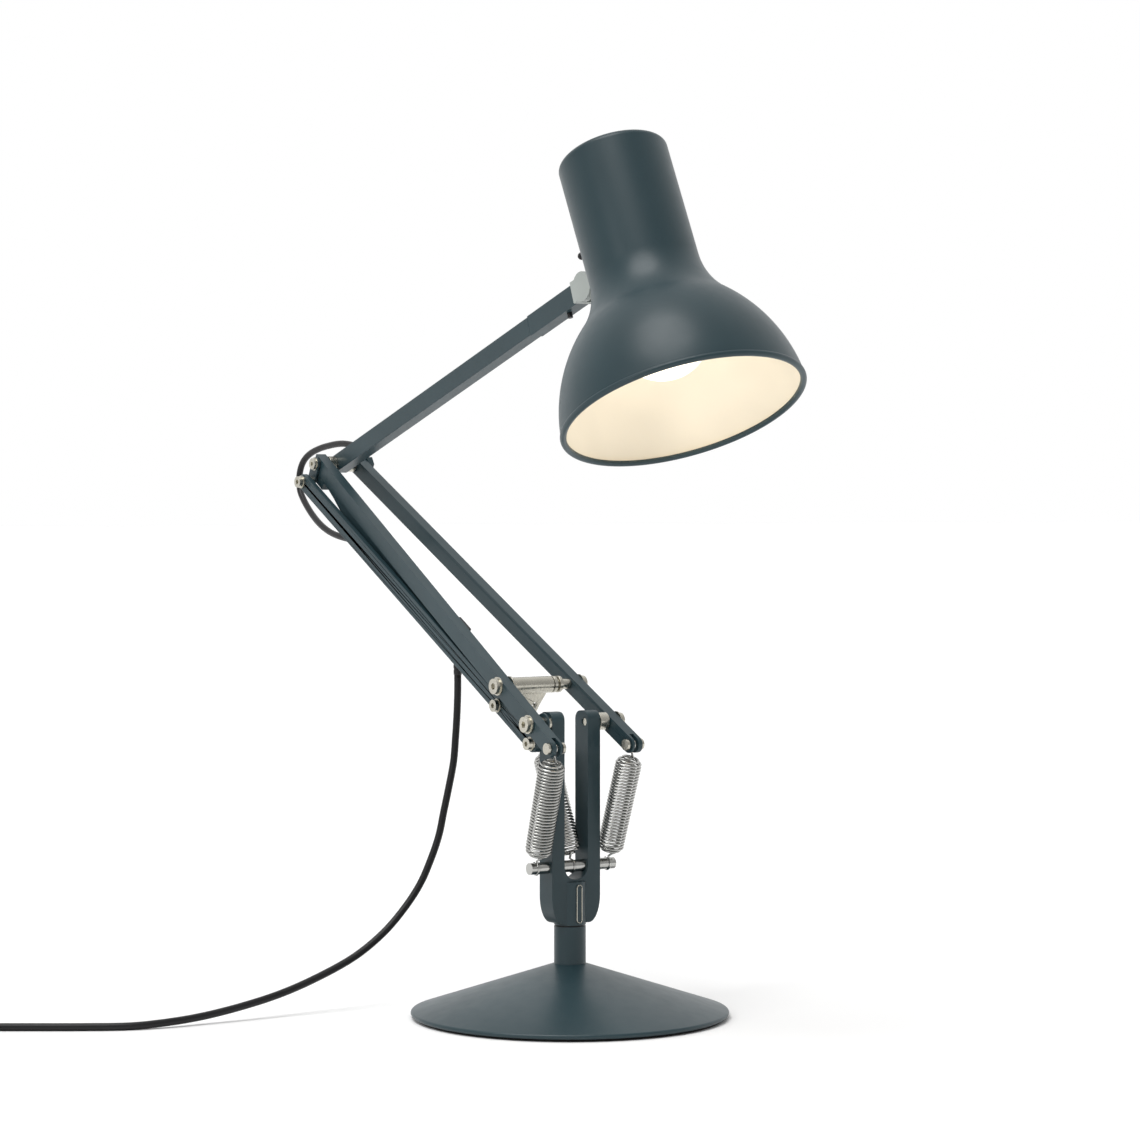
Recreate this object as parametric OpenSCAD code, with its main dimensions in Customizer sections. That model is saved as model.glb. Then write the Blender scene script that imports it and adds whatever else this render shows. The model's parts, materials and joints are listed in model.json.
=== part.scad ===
// Spring-balanced desk lamp on a round weighted base. A two-plate lower arm, a slim upper arm,
// a swivelling knuckle and a bell shade. +X points from the column towards the shade, +Z is up,
// and the origin is the centre of the base's underside.

/* [Base and column] */
// Diameter of the base
base_d = 150; // [140:1:170]
// Height of the base where the column stands on it
base_top_z = 25.3; // [24:0.1:30]
// Diameter of the column post
post_d = 15; // [14:0.5:16]
// Height of the top of the post
post_top_z = 43; // [42:0.5:44]

/* [Fork] */
// Width of the fork across both prongs
fork_w = 27.5; // [27:0.1:28]
// Thickness of the fork
fork_t = 10.4; // [10:0.1:12]
// Width of the slot between the prongs
fork_slot_w = 13.3; // [13.2:0.1:13.6]
// Height of the prong tops
fork_top_z = 144.1; // [143:0.1:146]

/* [Arms] */
// Length of the lower arm from the fork pivot to the elbow
lower_len = 244.8; // [235:0.1:255]
// Angle of the lower arm above the horizontal
lower_rise = 30.3; // [25:0.1:40]
// Thickness of each lower arm plate
arm_t = 5.6; // [5:0.1:6]
// Length of the upper arm from the elbow to the knuckle pivot
upper_len = 240; // [230:0.1:250]
// Angle of the upper arm above the horizontal
upper_rise = 19.5; // [10:0.1:25]
// Radius of the link cranks
crank_r = 10.3; // [10:0.1:10.6]

/* [Shade] */
// Tilt of the shade's axis forward of straight down
shade_tilt = 25; // [15:0.5:40]
// Outer radius of the mouth
mouth_r = 56.6; // [56:0.1:57.5]
// Outer radius of the neck
neck_r = 25.8; // [25:0.1:26.5]
// Height of the shade along its axis
shade_h = 131; // [125:1:135]
// Thickness of the spun sheet
shade_wall = 1; // [0.8:0.1:1.2]

/* [Springs] */
// Outside diameter of each spring
spring_d = 12.8; // [12:0.1:13]
// Diameter of the spring wire
wire_d = 1; // [0.8:0.1:1.2]

/* [Cord] */
// Diameter of the mains lead
cord_d = 3.6; // [3.5:0.1:3.8]

/* [Hidden] */
$fn = 64;
eps = 0.01;
run = 0.03;       // radial clearance of a running fit
gap = 0.3;        // clearance between faces that move past each other

slate = [0.27, 0.32, 0.34];
nickel = [0.78, 0.76, 0.70];
steel = [0.72, 0.72, 0.73];
die_cast = [0.62, 0.64, 0.62];
black = [0.05, 0.05, 0.05];
white = [0.95, 0.94, 0.90];
iron = [0.25, 0.25, 0.26];

// Base
base_r = base_d / 2;
post_r = post_d / 2;
pad_t = 1.2;
pad_r = base_r - 2.5;
base_slope = 0.3275;
base_edge_r = 1.15;
cover_t = 1.5;
spigot_r = 5;
spigot_z = 19.9;
bolt_r = 4;
bolt_seat_z = 8;
bolt_bore_r = 8.5;
bush_or = 6;
stem_r = 4.6;
bush_z = 33;
stem_z = 31;
flange_r = 6.8;
flange_t = 0.6;

// Fork
collar_z = post_top_z + flange_t + 0.05;
plate_z = 57.5;
plate_start_z = 44.5;
barrel_top_z = 64;
slot_z = 65;
bar_x = 1.2;
bar_z = 71.2;
bar_r = 2.8;
bar_half = 24;
hook_y = 20.4;
p0_x = 2.05;
p0_z = 138.8;

// Lower arm: s runs along the arm from the fork pivot, q runs down across it
elbow_x = p0_x - lower_len * cos(lower_rise);
elbow_z = p0_z + lower_len * sin(lower_rise);
m1_s = 32.6;
tail_s = -20.3;
arm_in0 = 19;
arm_in1 = 8.1;
arm_up = -3.6;
arm_down = 4.2;
arm_end_s = lower_len + 4;
tail_r = 3.9;
tail_end_s = -19.9;
pivot_r = 2;
bolt_head_r = 3.7;
bolt_head_h = 2.2;
washer_r = 4.4;
washer_t = 0.6;
thread_r = pivot_r - 0.4;
cover_s0 = 68;
cover_q = 9;
cover_y = 17.1;
tube_r = 2.5;
tail_pin_r = 1.3;
tail_pin_ball_r = 2.65;
tail_slot = 2.2;
spring_y = 22.3;

// Link cranks: the offset (cx, cz) is the same at the elbow, at the cross tube and at the fork pivot
crank_x = -4.2 * crank_r / 10.3;
crank_z = -9.4 * crank_r / 10.3;
crank_s = -crank_x * cos(lower_rise) + crank_z * sin(lower_rise);
crank_q = -crank_x * sin(lower_rise) - crank_z * cos(lower_rise);
crank_y0 = -17.2;
crank_y1 = -16.2;
link_y0 = -20.4;
link_y1 = -17.5;
link_half = 4.1;
m3_r = 1.5;
link_head_r = 2.9;
link_head_h = 2.2;
link_head_y = -23.6;
link_washer_r = 3.3;
link_washer_t = 0.95;
lever_y0 = -15.4;
lever_y1 = -14.4;

// Upper arm and knuckle
upper_half = 4.5;
upper_w = 7;
upper_wall = 1.2;
end_x0 = 191;
end_x1 = upper_len - 8.5;
end_half = 5;
swivel_r = 3;
swivel_x0 = 212;
grub_x = 220;
grub_r = 1.25;
knuckle_r = 7;
knuckle_half = 5.5;
tongue_half = 2.4;
tongue_r = 5.8;
tilt_r = 2;
tilt_end = 4.4;
knuckle_x = elbow_x + upper_len * cos(upper_rise);
knuckle_z = elbow_z + upper_len * sin(upper_rise);

// Shade: t runs up the axis from the mouth
pivot_back = 40.1;
pivot_t = 84.3;
bell_r = 75.4;
bell_ct = -5.3;
bell_cr = mouth_r - bell_r * cos(asin(-bell_ct / bell_r));
fillet_r = 36;
fillet_x = neck_r + fillet_r;
fillet_t = bell_ct + sqrt(pow(bell_r + fillet_r, 2) - pow(fillet_x - bell_cr, 2));
meet_a = atan2(fillet_t - bell_ct, fillet_x - bell_cr);
bulb_t = 40;
bulb_r = 22.5;
holder_r = 14;
holder_t0 = 84;
holder_t1 = 126;
bulb_cap_t = 82;
saddle_turn = 13;
switch_t = 98;
toggle_len = 13.5;

// Springs
near_foot = [bar_x, -hook_y, bar_z];
far_foot = [bar_x, hook_y, bar_z];
mid_foot = [bar_x, 0, bar_z];
tail_x_pos = p0_x + (-tail_s) * cos(lower_rise);
tail_z = p0_z + tail_s * sin(lower_rise);
near_tail = [tail_x_pos, -spring_y, tail_z];
far_tail = [tail_x_pos, spring_y, tail_z];
m1_x = p0_x - m1_s * cos(lower_rise);
m1_z = p0_z + m1_s * sin(lower_rise);
eye = [m1_x + crank_x, 0, m1_z + crank_z];
coil_foot = 6;
side_end = 54;
middle_end = 56;

// Mains lead, where it hangs from the lower arm and lies on the table
cord_r = cord_d / 2;
relief_x = -78.4;
relief_y = -12;
relief_z = 158;
relief_top_z = 180;
relief_r = 2.7;
cord_route = [
    [-78.4, -12, 158], [-78.4, -12, 150], [-78.3, -12.5, 139], [-78, -13.5, 128], [-77.5, -15, 116],
    [-77, -18, 104], [-77, -21, 92], [-77, -24, 80], [-77, -29, 68], [-77, -35, 57],
    [-77, -44, 46], [-77, -56, 35], [-77, -72, 25], [-77, -92, 17], [-77, -112, 11],
    [-77, -132, 7], [-78, -152, 4], [-79, -170, 2.6], [-83, -188, 1.8], [-93, -206, 1.8],
    [-106, -225, 1.8], [-118, -242, 1.8], [-130, -259, 1.8], [-140, -273, 1.8]
];
coil_x = -120.3;
coil_y = -287;
coil_in_r = 15;
coil_out_r = 26;
coil_h = 14.6;
tail_y = -311.2;
tail_route = [
    [-120.3, -311.2, 12.75], [-116, -311.2, 12.4], [-111.5, -311.2, 10.7],
    [-107.5, -311.2, 8.3], [-104, -311.2, 6], [-100.5, -311.2, 5], [-98.3, -311.2, 5]
];
plug_x = -74.3;
plug_r = 5;
plug_half = 12;
plug_len = 16;

// Lead between the two arms, round the back of the elbow
loop_r = 1.7;
loop_route = [
    [-188, 0, 270.2], [-196, 0, 271.9], [-203.7, 0, 272.8], [-211, 0, 272.9], [-220, 0, 272.2],
    [-230.5, 0, 270.7], [-240, 0, 268.2], [-246.5, 0, 264.8], [-250.3, 0, 260.2], [-251.8, 0, 254.3],
    [-249.8, -0.5, 248.4], [-244.6, -1.5, 243.7], [-236.9, -3, 238.9], [-227.9, -4.5, 234.1],
    [-218.1, -6, 230], [-208.3, -7, 226.9], [-198.9, -7.8, 225], [-190.5, -8, 223.8],
    [-182.5, -8.2, 222.9], [-174, -8.4, 222.2], [-165.5, -8.6, 221.4], [-157, -8.9, 220],
    [-149.1, -9.3, 217.2], [-141.8, -9.6, 213.7], [-134.9, -9.6, 209.67]
];

// ---- Helpers ----

// Points of an arc in a plane, from angle a0 to a1
function arc(cx, cy, r, a0, a1, n) =
    [for (i = [0:n]) [cx + r * cos(a0 + (a1 - a0) * i / n), cy + r * sin(a0 + (a1 - a0) * i / n)]];

function unit(v) = v / norm(v);

// Rings of a round tube swept along a route, each ring square to the local direction
function heading(route, i) =
    unit(route[min(i + 1, len(route) - 1)] - route[max(i - 1, 0)]);
function side(d) = unit(cross(d, abs(d[2]) > 0.9 ? [1, 0, 0] : [0, 0, 1]));
function ring(p, d, r, n) =
    let (a = side(d), b = cross(d, a))
    [for (k = [0:n - 1]) p + r * cos(360 * k / n) * a + r * sin(360 * k / n) * b];

module sweep(route, r, n) {
    rings = len(route);
    points = [for (i = [0:rings - 1]) each ring(route[i], heading(route, i), r, n)];
    sides = [for (i = [0:rings - 2], k = [0:n - 1])
        [i * n + k, i * n + (k + 1) % n, (i + 1) * n + (k + 1) % n, (i + 1) * n + k]];
    first = [for (k = [n - 1:-1:0]) k];
    last = [for (k = [0:n - 1]) (rings - 1) * n + k];
    polyhedron(points, concat([first], sides, [last]), convexity = 10);
}

// A cylinder along Y between two Y values
module y_rod(r, y0, y1) {
    translate([0, y1, 0])
        rotate([90, 0, 0])
            cylinder(r = r, h = y1 - y0);
}

// A shape drawn in (x, z) and given thickness along Y
module y_plate(y0, y1) {
    translate([0, y1, 0])
        rotate([90, 0, 0])
            linear_extrude(height = y1 - y0)
                children();
}

// A solid from one point to another, built along its own Z
module aim(a, b) {
    d = b - a;
    translate(a)
        rotate([0, acos(d[2] / norm(d)), atan2(d[1], d[0])])
            children();
}

// A bar with round ends between two points in a plane
module slab(a, b, r) {
    turn = atan2(b[1] - a[1], b[0] - a[0]);
    polygon(concat(
        arc(a[0], a[1], r, turn + 90, turn + 270, 12),
        arc(b[0], b[1], r, turn - 90, turn + 90, 12)
    ));
}

module at_lower_arm() {
    translate([p0_x, 0, p0_z])
        rotate([0, 180 + lower_rise, 0])
            children();
}

module at_upper_arm() {
    translate([elbow_x, 0, elbow_z])
        rotate([0, -upper_rise, 0])
            children();
}

module at_shade() {
    translate([knuckle_x, 0, knuckle_z])
        rotate([0, -shade_tilt, 0])
            translate([pivot_back, 0, -pivot_t])
                children();
}

// Inner face of a lower arm plate, measured from the lamp's middle plane
function arm_in(s) = arm_in0 + (arm_in1 - arm_in0) * s / lower_len;

// Socket-head screw along Y: head on the near side, shank towards +Y
module near_screw(head_r, head_h, washer_r, washer_h, shank_r, y_head, y_end) {
    y_seat = y_head + head_h;
    socket_r = head_r * 0.45;
    socket_depth = head_h * 0.6;
    difference() {
        y_rod(head_r, y_head, y_seat);
        y_rod_hex(socket_r, y_head - eps, y_head + socket_depth);
    }
    y_rod(washer_r, y_seat, y_seat + washer_h);
    y_rod(shank_r, y_seat, y_end);
}

module y_rod_hex(r, y0, y1) {
    translate([0, y1, 0])
        rotate([90, 0, 0])
            cylinder(r = r, h = y1 - y0, $fn = 6);
}

// ---- Base ----

function cone_z(r) = base_top_z - base_slope * (r - post_r);

module base_outline() {
    polygon(concat(
        [[0, pad_t], [pad_r + 0.6, pad_t]],
        arc(base_r - base_edge_r, pad_t + base_edge_r, base_edge_r, -90, 72, 8),
        [[base_r - 4, cone_z(base_r - 4)], [post_r, base_top_z], [0, base_top_z]]
    ));
}

module base_inside(shrink) {
    polygon([
        [0, pad_t - eps], [base_r - cover_t - shrink, pad_t - eps],
        [base_r - cover_t - shrink, cone_z(base_r) - 0.4 - shrink],
        [base_r - 6, cone_z(base_r - 6) - cover_t - shrink],
        [post_r, base_top_z - cover_t - shrink], [0, base_top_z - cover_t - shrink]
    ]);
}

module base_cover() {
    color(slate)
        difference() {
            rotate_extrude()
                difference() {
                    base_outline();
                    base_inside(0);
                }
            translate([0, 0, base_top_z - 4])
                cylinder(r = spigot_r, h = 8);
        }
}

module base_weight() {
    color(iron)
        difference() {
            rotate_extrude()
                intersection() {
                    base_inside(0.1);
                    translate([0, pad_t])
                        square([base_r, base_top_z]);
                }
            translate([0, 0, spigot_z])
                cylinder(r = spigot_r, h = 10);
            cylinder(r = bolt_r, h = 30);
            cylinder(r = bolt_bore_r, h = bolt_seat_z);
        }
}

module base_pad() {
    color(black)
        cylinder(r = pad_r, h = pad_t);
}

module base_bolt() {
    head_z = 3;
    head_r = 6.5;
    shank_h = 22;
    socket_r = 3.5;
    color(steel)
        difference() {
            union() {
                translate([0, 0, head_z])
                    cylinder(r = head_r, h = bolt_seat_z - head_z);
                translate([0, 0, bolt_seat_z - eps])
                    cylinder(r = bolt_r, h = shank_h);
            }
            translate([0, 0, head_z - eps])
                cylinder(r = socket_r, h = 3, $fn = 6);
        }
}

module post() {
    thread_h = 10.5;
    color(slate)
        difference() {
            union() {
                translate([0, 0, base_top_z])
                    cylinder(r = post_r, h = post_top_z - base_top_z);
                translate([0, 0, spigot_z])
                    cylinder(r = spigot_r, h = base_top_z - spigot_z + eps);
            }
            translate([0, 0, spigot_z - eps])
                cylinder(r = bolt_r, h = thread_h);
            translate([0, 0, stem_z - 0.6])
                cylinder(r = bush_or, h = 20);
        }
}

module post_bush() {
    color(black)
        difference() {
            union() {
                translate([0, 0, bush_z])
                    cylinder(r = bush_or, h = post_top_z - bush_z);
                translate([0, 0, post_top_z])
                    cylinder(r = flange_r, h = flange_t);
            }
            translate([0, 0, bush_z - 1])
                cylinder(r = stem_r, h = 20);
        }
}

// ---- Fork ----

// Front outline: the neck widens from the barrel into the flat plate
module fork_front() {
    neck = plate_z - plate_start_z;
    reach = fork_w / 2 - post_r;
    steps = 10;
    right = [for (i = [0:steps]) let (a = 90 * i / steps)
        [post_r + reach * sin(a), plate_z - neck * cos(a)]];
    left = [for (i = [steps:-1:0]) [-right[i][0], right[i][1]]];
    polygon(concat(right, [[fork_w / 2, fork_top_z], [-fork_w / 2, fork_top_z]], left));
}

// Side outline: the prong tops are rounded
module fork_side() {
    round_r = 4;
    half = fork_t / 2;
    polygon(concat(
        [[-half, plate_start_z - 1], [half, plate_start_z - 1]],
        arc(half - round_r, fork_top_z - round_r, round_r, 0, 90, 8),
        arc(-half + round_r, fork_top_z - round_r, round_r, 90, 180, 8)
    ));
}

module fork() {
    slot_r = fork_slot_w / 2;
    color(slate)
        difference() {
            union() {
                intersection() {
                    rotate([90, 0, 90])
                        linear_extrude(height = 20, center = true)
                            fork_front();
                    y_plate(-20, 20)
                        fork_side();
                }
                translate([0, 0, collar_z])
                    cylinder(r = post_r, h = barrel_top_z - collar_z);
                translate([0, 0, stem_z])
                    cylinder(r = stem_r - 0.05, h = collar_z + 1 - stem_z);
            }
            translate([-20, -slot_r, slot_z + slot_r])
                cube([40, fork_slot_w, 100]);
            translate([-20, 0, slot_z + slot_r])
                rotate([0, 90, 0])
                    cylinder(r = slot_r, h = 40);
            translate([bar_x, 0, bar_z])
                y_rod(bar_r, -30, 30);
            translate([p0_x, 0, p0_z])
                y_rod(pivot_r, -30, 30);
        }
}

// Plain pill on the front of the barrel
module fork_badge() {
    pill_w = 3.4;
    pill_z0 = 44.6;
    pill_z1 = 63;
    color(steel)
        intersection() {
            rotate([90, 0, 90])
                linear_extrude(height = 20)
                    slab([0, pill_z0 + pill_w / 2], [0, pill_z1 - pill_w / 2], pill_w / 2);
            translate([0, 0, 40])
                difference() {
                    cylinder(r = post_r + 0.5, h = 30);
                    cylinder(r = post_r, h = 30);
                }
        }
}

// Snap ring under the stem that keeps the fork in its bush
module stem_clip() {
    clip_t = 1;
    color(steel)
        translate([0, 0, bush_z - 0.1 - clip_t])
            difference() {
                cylinder(r = bush_or - 0.2, h = clip_t);
                translate([0, 0, -1])
                    cylinder(r = stem_r - 0.05, h = clip_t + 2);
            }
}

module anchor_bar() {
    groove = wire_d / 2 + 0.1;
    color(steel)
        translate([bar_x, 0, bar_z])
            difference() {
                y_rod(bar_r, -bar_half, bar_half);
                for (y = [-hook_y, 0, hook_y])
                    difference() {
                        y_rod(bar_r + 1, y - groove, y + groove);
                        y_rod(bar_r - 0.5, y - 1, y + 1);
                    }
            }
}

// One pivot bolt each side; the head stands outside the arm and the shank ends in the prong
module pivot_bolts() {
    head_y = -27.9;
    shank_y = -7.2;
    color(nickel)
        translate([p0_x, 0, p0_z])
            for (m = [0, 1])
                mirror([0, m, 0])
                    near_screw(bolt_head_r, bolt_head_h, washer_r, washer_t, pivot_r, head_y, shank_y);
}

module pivot_spacers() {
    near_r = 3.2;
    far_r = 4.2;
    spacer_end = 18.7;
    color(nickel)
        translate([p0_x, 0, p0_z]) {
            difference() {
                y_rod(near_r, -spacer_end, -fork_w / 2);
                y_rod(pivot_r, -spacer_end - 1, 0);
            }
            difference() {
                y_rod(far_r, fork_w / 2, spacer_end);
                y_rod(pivot_r, 0, spacer_end + 1);
            }
        }
}

// ---- Lower arm ----

// Plan of one plate: it leans in towards the elbow
module arm_plan() {
    s0 = tail_end_s - tail_r;
    polygon([
        [s0, -arm_in(s0)], [s0, -arm_in(s0) - arm_t],
        [arm_end_s, -arm_in(arm_end_s) - arm_t], [arm_end_s, -arm_in(arm_end_s)]
    ]);
}

// Side of one plate, drawn in (s, q)
module arm_side() {
    mid = (arm_up + arm_down) / 2;
    translate([tail_end_s, mid])
        circle(r = tail_r);
    translate([tail_end_s, arm_up])
        square([arm_end_s - tail_end_s, arm_down - arm_up]);
}

module arm_bores() {
    y_rod(pivot_r + run, -40, 0);
    translate([m1_s, 0, 0])
        y_rod(pivot_r, -40, 0);
    translate([lower_len, 0, 0])
        y_rod(tube_r + run, -40, 0);
    translate([tail_s, 0, 0])
        y_rod(tail_pin_r, -40, 0);
    translate([tail_s - 6, -spring_y - tail_slot / 2, -6])
        cube([9.5, tail_slot, 12]);
}

module arm_plate() {
    difference() {
        intersection() {
            translate([0, 0, -20])
                linear_extrude(height = 40)
                    arm_plan();
            rotate([90, 0, 0])
                linear_extrude(height = 60)
                    arm_side();
        }
        arm_bores();
    }
}

module near_arm() {
    color(slate)
        at_lower_arm()
            arm_plate();
}

module far_arm() {
    color(slate)
        at_lower_arm()
            mirror([0, 1, 0])
                arm_plate();
}

// Channel under the near plate that carries the lead; it has a window near the elbow
module cable_cover() {
    meet_s = (arm_in0 + arm_t - cover_y) * lower_len / (arm_in0 - arm_in1);
    color(slate)
        at_lower_arm()
            difference() {
                translate([0, 0, arm_down])
                    linear_extrude(height = cover_q - arm_down)
                        polygon([
                            [cover_s0, -arm_in(cover_s0)], [cover_s0, -cover_y],
                            [meet_s, -cover_y], [arm_end_s, -arm_in(arm_end_s) - arm_t],
                            [arm_end_s, -arm_in(arm_end_s)]
                        ]);
                rotate([-90, 0, 0])
                    translate([0, 0, -40])
                        linear_extrude(height = 40)
                            polygon([[233.5, -arm_down - 0.7], [233.5, -cover_q - 1], [209, -cover_q - 1]]);
            }
}

module cross_tube() {
    half = arm_in(m1_s) - 0.1;
    color(nickel)
        at_lower_arm()
            translate([m1_s, 0, 0])
                difference() {
                    y_rod(tube_r, -half, half);
                    for (m = [0, 1])
                        mirror([0, m, 0])
                            y_rod(thread_r, -half - 1, -half + 8);
                }
}

module cross_bolts() {
    seat = arm_in(m1_s) + arm_t + 0.15;
    head_y = -seat - washer_t - bolt_head_h;
    shank_r = pivot_r - 0.05;
    half = arm_in(m1_s) - 0.1;
    color(nickel)
        at_lower_arm()
            translate([m1_s, 0, 0])
                for (m = [0, 1])
                    mirror([0, m, 0]) {
                        near_screw(bolt_head_r, bolt_head_h, washer_r, washer_t, shank_r, head_y, -half);
                        y_rod(thread_r, -half - eps, -half + 7);
                    }
}

module tube_collars() {
    color(nickel)
        at_lower_arm()
            translate([m1_s, 0, 0])
                for (y = [7.2, 10.2])
                    difference() {
                        y_rod(4, y, y + 1.8);
                        y_rod(tube_r, y - 1, y + 3);
                    }
}

module tail_pins() {
    out_y = 27.2;
    in_y = 17.6;
    ball_w = 1.4;
    color(nickel)
        at_lower_arm()
            translate([tail_s, 0, 0])
                for (m = [0, 1])
                    mirror([0, m, 0]) {
                        y_rod(tail_pin_r, -out_y + 0.8, -in_y - 0.6);
                        y_rod(tail_pin_ball_r, -out_y, -out_y + ball_w);
                        y_rod(tail_pin_ball_r, -in_y - ball_w, -in_y);
                    }
}

// ---- Link cranks and tie bar ----

// Flat crank from a pivot to its link pin, drawn in (x, z) about the pivot
module crank_flat(hub_r, pin_r) {
    slab([0, 0], [crank_x, crank_z], pin_r);
    circle(r = hub_r);
}

module counter_crank() {
    hub_r = 4;
    hub_end = 6.6;
    tip = 14;
    color(slate)
        translate([m1_x, 0, m1_z])
            difference() {
                union() {
                    y_plate(crank_y0, crank_y1)
                        crank_flat(hub_r + 0.6, link_half);
                    y_rod(hub_r, crank_y0, hub_end);
                    rotate([0, atan2(crank_x, crank_z), 0])
                        rotate([0, -90, 180])
                            linear_extrude(height = 2, center = true)
                                polygon([[0, -crank_y1], [0, -hub_end], [tip - 4, -3], [tip, -2],
                                    [tip, 2], [tip - 4, 3.2]]);
                }
                y_rod(tube_r + 0.05, -30, 30);
                translate([crank_x, 0, crank_z])
                    y_rod(m3_r, -30, -10);
                rotate([0, atan2(crank_x, crank_z), 0])
                    translate([0, 0, crank_r])
                        rotate([0, 90, 0])
                            cylinder(r = 1.4, h = 10, center = true);
            }
}

module guide_crank() {
    color(slate)
        translate([p0_x, 0, p0_z])
            difference() {
                y_plate(crank_y0, crank_y1)
                    crank_flat(5, link_half);
                y_rod(3.25, -30, 0);
                translate([crank_x, 0, crank_z])
                    y_rod(m3_r, -30, 0);
            }
}

module link_screw() {
    near_screw(link_head_r, link_head_h, link_washer_r, link_washer_t, m3_r, link_head_y, crank_y1 - 0.1);
}

module counter_screw() {
    color(nickel)
        translate([m1_x + crank_x, 0, m1_z + crank_z])
            link_screw();
}

module guide_screw() {
    color(nickel)
        translate([p0_x + crank_x, 0, p0_z + crank_z])
            link_screw();
}

module tie_bar() {
    end_s = lower_len + crank_s;
    color(slate)
        at_lower_arm()
            difference() {
                y_plate(link_y0, link_y1)
                    slab([crank_s, crank_q], [end_s, crank_q], link_half);
                for (s = [crank_s, m1_s + crank_s, end_s])
                    translate([s, 0, crank_q])
                        y_rod(m3_r + run, -30, 0);
            }
}

// ---- Springs ----

// Coil body as a plain sleeve with a straight hook at each end
module spring_body(foot, head, body0, body1) {
    l = norm(head - foot);
    or = spring_d / 2;
    aim(foot, head) {
        difference() {
            translate([0, 0, body0])
                cylinder(r = or, h = body1 - body0);
            translate([0, 0, body0 + 1])
                cylinder(r = or - wire_d, h = body1 - body0 - 2);
        }
        translate([0, 0, bar_r + 0.4])
            cylinder(r = wire_d / 2, h = body0 - bar_r);
        translate([0, 0, body1 - eps])
            cylinder(r = wire_d / 2, h = l - body1 - 1.6);
    }
}

module spring_near() {
    color(steel)
        spring_body(near_foot, near_tail, coil_foot, side_end);
}

module spring_far() {
    color(steel)
        spring_body(far_foot, far_tail, coil_foot, side_end);
}

module spring_middle() {
    color(steel)
        aim(mid_foot, eye) {
            difference() {
                translate([0, 0, coil_foot])
                    cylinder(r = spring_d / 2, h = middle_end - coil_foot);
                translate([0, 0, coil_foot + 1])
                    cylinder(r = spring_d / 2 - wire_d, h = middle_end - coil_foot - 2);
            }
            translate([0, 0, bar_r + 0.4])
                cylinder(r = wire_d / 2, h = 4);
        }
}

module pull_hook() {
    l = norm(eye - mid_foot);
    color(steel)
        aim(mid_foot, eye)
            translate([0, 0, middle_end])
                cylinder(r = wire_d / 2 + 0.1, h = l - middle_end - 4.4);
}

// ---- Elbow ----

module elbow_bolt() {
    color(nickel)
        translate([elbow_x, 0, elbow_z])
            near_screw(2.9, 1.4, 3.4, 0.35, tube_r, -17.2, 18);
}

module elbow_nut() {
    washer_y = 14.2;
    nut_y = 14.9;
    nut_end = 18.2;
    color(nickel)
        translate([elbow_x, 0, elbow_z])
            difference() {
                union() {
                    y_rod_hex(4.4, nut_y, nut_end);
                    y_rod(4.8, washer_y, nut_y);
                }
                y_rod(tube_r, washer_y - 1, nut_end + 1);
            }
}

module elbow_spacers() {
    color(nickel)
        translate([elbow_x, 0, elbow_z])
            for (m = [0, 1])
                mirror([0, m, 0])
                    difference() {
                        y_rod(4, -7.85, -upper_w / 2);
                        y_rod(tube_r, -9, 0);
                    }
}

// Lever clamped under the bolt head, outside the near plate
module elbow_lever() {
    color(slate)
        translate([elbow_x, 0, elbow_z])
            difference() {
                y_plate(lever_y0, lever_y1)
                    slab([0, 0], [crank_x, crank_z], 3.6);
                y_rod(tube_r, -30, 0);
                translate([crank_x, 0, crank_z])
                    y_rod(m3_r, -30, 0);
            }
}

module lever_screw() {
    color(nickel)
        translate([elbow_x + crank_x, 0, elbow_z + crank_z]) {
            near_screw(link_head_r, link_head_h, link_washer_r, link_washer_t, m3_r, link_head_y, lever_y1);
            y_rod(link_head_r, link_y1 + 0.05, lever_y0);
        }
}

// ---- Upper arm ----

module upper_arm() {
    color(slate)
        at_upper_arm()
            difference() {
                union() {
                    translate([0, -upper_w / 2, -upper_half])
                        cube([end_x0, upper_w, 2 * upper_half]);
                    y_rod(upper_half, -upper_w / 2, upper_w / 2);
                }
                translate([8, -upper_w / 2 + upper_wall, -upper_half + upper_wall])
                    cube([end_x0, upper_w - 2 * upper_wall, 2 * (upper_half - upper_wall)]);
                y_rod(tube_r, -9, 9);
                translate([9, -2.1, 0])
                    cube([15, 4.2, 10]);
            }
}

module arm_end() {
    color(slate)
        at_upper_arm()
            difference() {
                union() {
                    translate([end_x0, -3.4, -end_half])
                        cube([end_x1 - end_x0, 6.8, 2 * end_half]);
                    translate([end_x0 - 12, -upper_w / 2 + upper_wall, -upper_half + upper_wall])
                        cube([12.5, upper_w - 2 * upper_wall, 2 * (upper_half - upper_wall)]);
                }
                translate([swivel_x0 - 1, 0, 0])
                    rotate([0, 90, 0])
                        cylinder(r = swivel_r - 0.2 + run, h = 40);
                translate([grub_x, 0, -10])
                    cylinder(r = grub_r, h = 10);
            }
}

module grub_screw() {
    color(black)
        at_upper_arm()
            translate([grub_x, 0, -7.4])
                cylinder(r = grub_r, h = 5);
}

// ---- Knuckle and shade ----

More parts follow.
